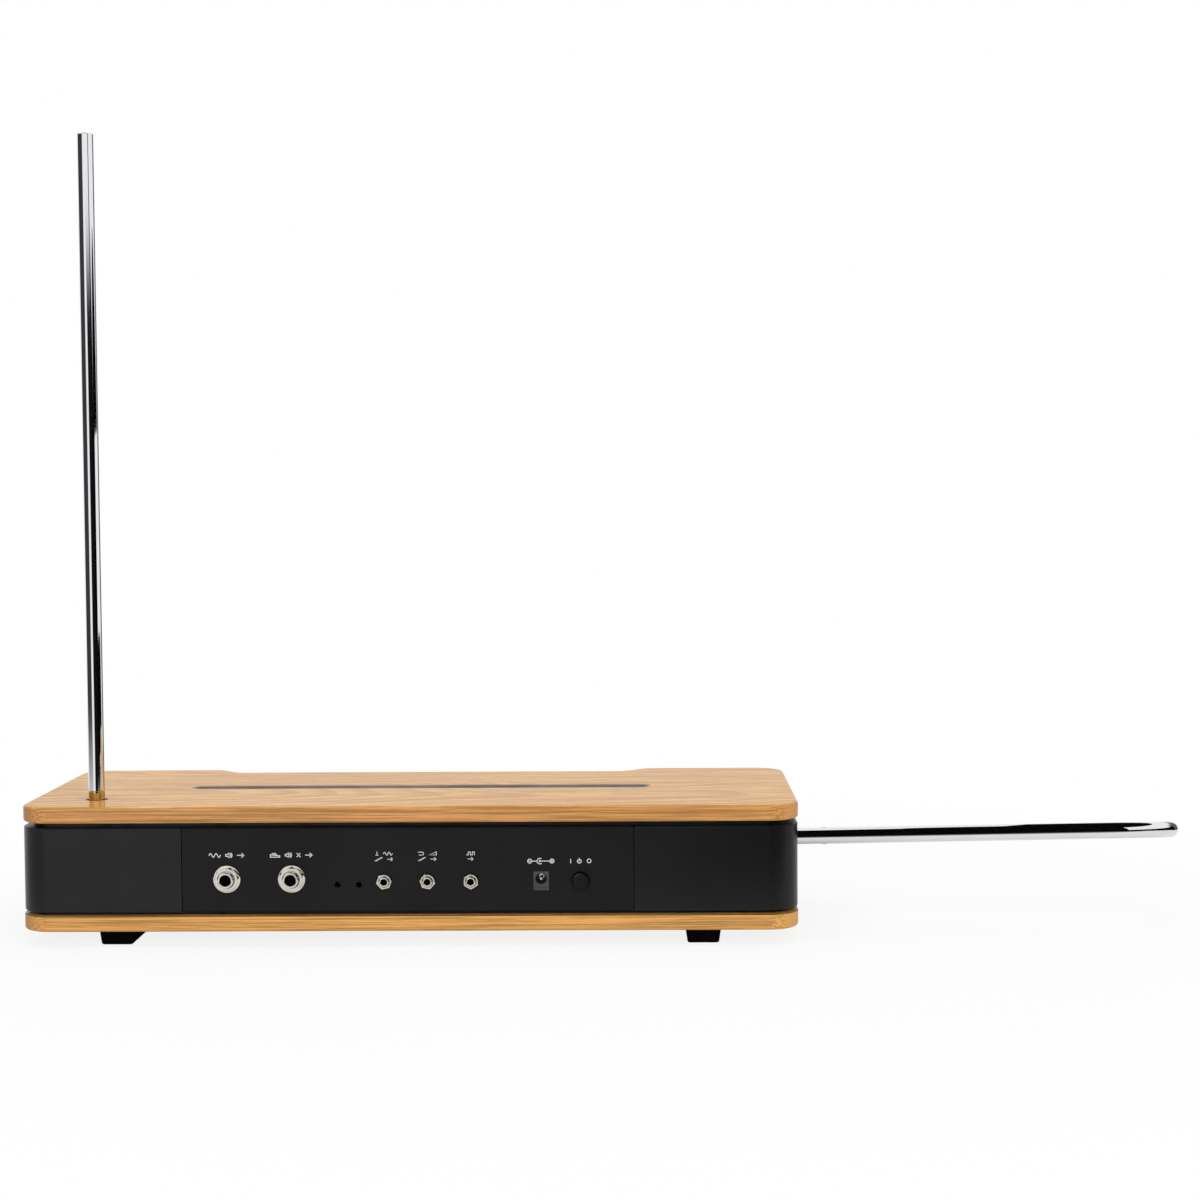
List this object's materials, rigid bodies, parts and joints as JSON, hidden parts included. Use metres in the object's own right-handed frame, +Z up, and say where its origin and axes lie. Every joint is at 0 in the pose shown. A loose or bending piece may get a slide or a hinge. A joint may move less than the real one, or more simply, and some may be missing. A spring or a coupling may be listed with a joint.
{
  "type": "theremin",
  "caption": "Theremin with wooden boards over and under a black body, an upright pitch antenna, a swivelling volume loop, jacks at the rear and knobs towards the player.",
  "frame": {"origin": "centre of the stand thread at its face, in the underside of the bottom board", "axes": "+X along the case towards the volume loop, +Y from the jack side to the player, +Z up along the pitch antenna"},
  "size_m": [0.6831, 0.1783, 0.4701],
  "materials": {
    "top_wood": "satin lacquered light wood",
    "bottom_wood": "satin lacquered light wood",
    "shell_black": "fine-grained matte black",
    "panel_black": "fine-textured matte black paint",
    "inner_steel": "dark grey",
    "liner_black": "satin black",
    "screw_steel": "zinc plated",
    "brass": "polished",
    "foot_rubber": "matte",
    "flange_steel": "black",
    "board_green": "solder mask over glass fibre",
    "cable_grey": "flat cable",
    "can_steel": "tinned",
    "chip_black": "moulded",
    "capacitor_blue": "sleeved",
    "coil_copper": "enamelled wire",
    "lead_red": "insulated wire",
    "socket_nylon": "moulded",
    "chrome": "mirror polished",
    "cap_vinyl": "soft vinyl",
    "jack_plastic": "moulded",
    "nickel": "nickel plated",
    "inlet_grey": "moulded",
    "button_black": "glossy",
    "trimmer_blue": "moulded",
    "pot_green": "moulded",
    "lamp_red": "clear tinted",
    "knob_black": "satin",
    "shaft_steel": "turned"
  },
  "bodies": {
    "case": {"top_board": "top_wood", "bottom_board": "bottom_wood", "left_end_shell": "shell_black", "right_end_shell": "shell_black", "rear_panel": "panel_black", "front_panel": "panel_black", "base_plate": "inner_steel", "top_frame": "inner_steel", "slot_liner": "liner_black", "wood_screws": "screw_steel", "case_screws": "screw_steel", "board_inserts": "brass", "panel_screws": "screw_steel", "feet": "foot_rubber", "stand_flange": "flange_steel", "main_circuit_board": "board_green", "standoffs": "brass", "board_screws": "screw_steel", "jack_circuit_board": "board_green", "knob_circuit_board": "board_green", "ribbon_cables": "cable_grey", "oscillator_cans": "can_steel", "circuit_chips": "chip_black", "capacitors": "capacitor_blue", "coil_circuit_boards": "board_green", "antenna_coils": "coil_copper", "antenna_leads": "lead_red", "socket_sleeves": "socket_nylon", "socket_contacts": "brass", "large_jack_bodies": "jack_plastic", "large_jack_bushes": "nickel", "large_jack_washers": "nickel", "large_jack_nuts": "nickel", "small_jack_bodies": "jack_plastic", "small_jack_bushes": "nickel", "small_jack_nuts": "nickel", "power_inlet": "inlet_grey", "inlet_pin": "nickel", "power_switch": "jack_plastic", "trimmer_bodies": "trimmer_blue", "pot_bodies": "pot_green", "pot_bushes": "nickel", "pot_nuts": "nickel", "indicator_lamp": "lamp_red"},
    "pitch_antenna": {"pitch_plug": "brass", "pitch_rod": "chrome"},
    "volume_stem": {"volume_plug": "brass"},
    "volume_antenna": {"volume_loop": "chrome", "loop_end_cap": "cap_vinyl"},
    "power_switch_button": {"power_button": "button_black"},
    "pitch_trimmer": {"pitch_trim_screw": "brass"},
    "volume_trimmer": {"volume_trim_screw": "brass"},
    "volume_control": {"volume_knob": "knob_black", "volume_shaft": "shaft_steel"},
    "pitch_control": {"pitch_knob": "knob_black", "pitch_shaft": "shaft_steel"},
    "waveform_control": {"waveform_knob": "knob_black", "waveform_shaft": "shaft_steel"},
    "brightness_control": {"brightness_knob": "knob_black", "brightness_shaft": "shaft_steel"}
  },
  "joints": [
    {"name": "pitch_antenna_lift", "type": "slide", "parent": "case", "child": "pitch_antenna", "axis": [0, 0, 1], "range_m": [0, 0.032]},
    {"name": "volume_antenna_pull", "type": "slide", "parent": "case", "child": "volume_stem", "axis": [0.9999, 0, 0.014], "range_m": [0, 0.037]},
    {"name": "volume_antenna_swivel", "type": "hinge", "parent": "volume_stem", "child": "volume_antenna", "pos_m": [0.2247, -0.0505, 0.0487], "axis": [0.9999, 0, 0.014], "continuous": true},
    {"name": "power_button_press", "type": "slide", "parent": "case", "child": "power_switch_button", "axis": [0, 1, 0], "range_m": [0, 0.0025], "stiffness_N_per_m": 600},
    {"name": "pitch_trimmer_turn", "type": "hinge", "parent": "case", "child": "pitch_trimmer", "pos_m": [-0.0404, -0.0767, 0.0269], "axis": [0, -1, 0], "range_deg": [-130, 130]},
    {"name": "volume_trimmer_turn", "type": "hinge", "parent": "case", "child": "volume_trimmer", "pos_m": [-0.028, -0.0767, 0.0269], "axis": [0, -1, 0], "range_deg": [-130, 130]},
    {"name": "brightness_control_turn", "type": "hinge", "parent": "case", "child": "brightness_control", "pos_m": [-0.09, 0.0717, 0.0357], "axis": [0, 1, 0], "range_deg": [-150, 150]},
    {"name": "waveform_control_turn", "type": "hinge", "parent": "case", "child": "waveform_control", "pos_m": [-0.03, 0.0717, 0.0357], "axis": [0, 1, 0], "range_deg": [-150, 150]},
    {"name": "pitch_control_turn", "type": "hinge", "parent": "case", "child": "pitch_control", "pos_m": [0.03, 0.0717, 0.0357], "axis": [0, 1, 0], "range_deg": [-150, 150]},
    {"name": "volume_control_turn", "type": "hinge", "parent": "case", "child": "volume_control", "pos_m": [0.09, 0.0717, 0.0357], "axis": [0, 1, 0], "range_deg": [-150, 150]}
  ]
}
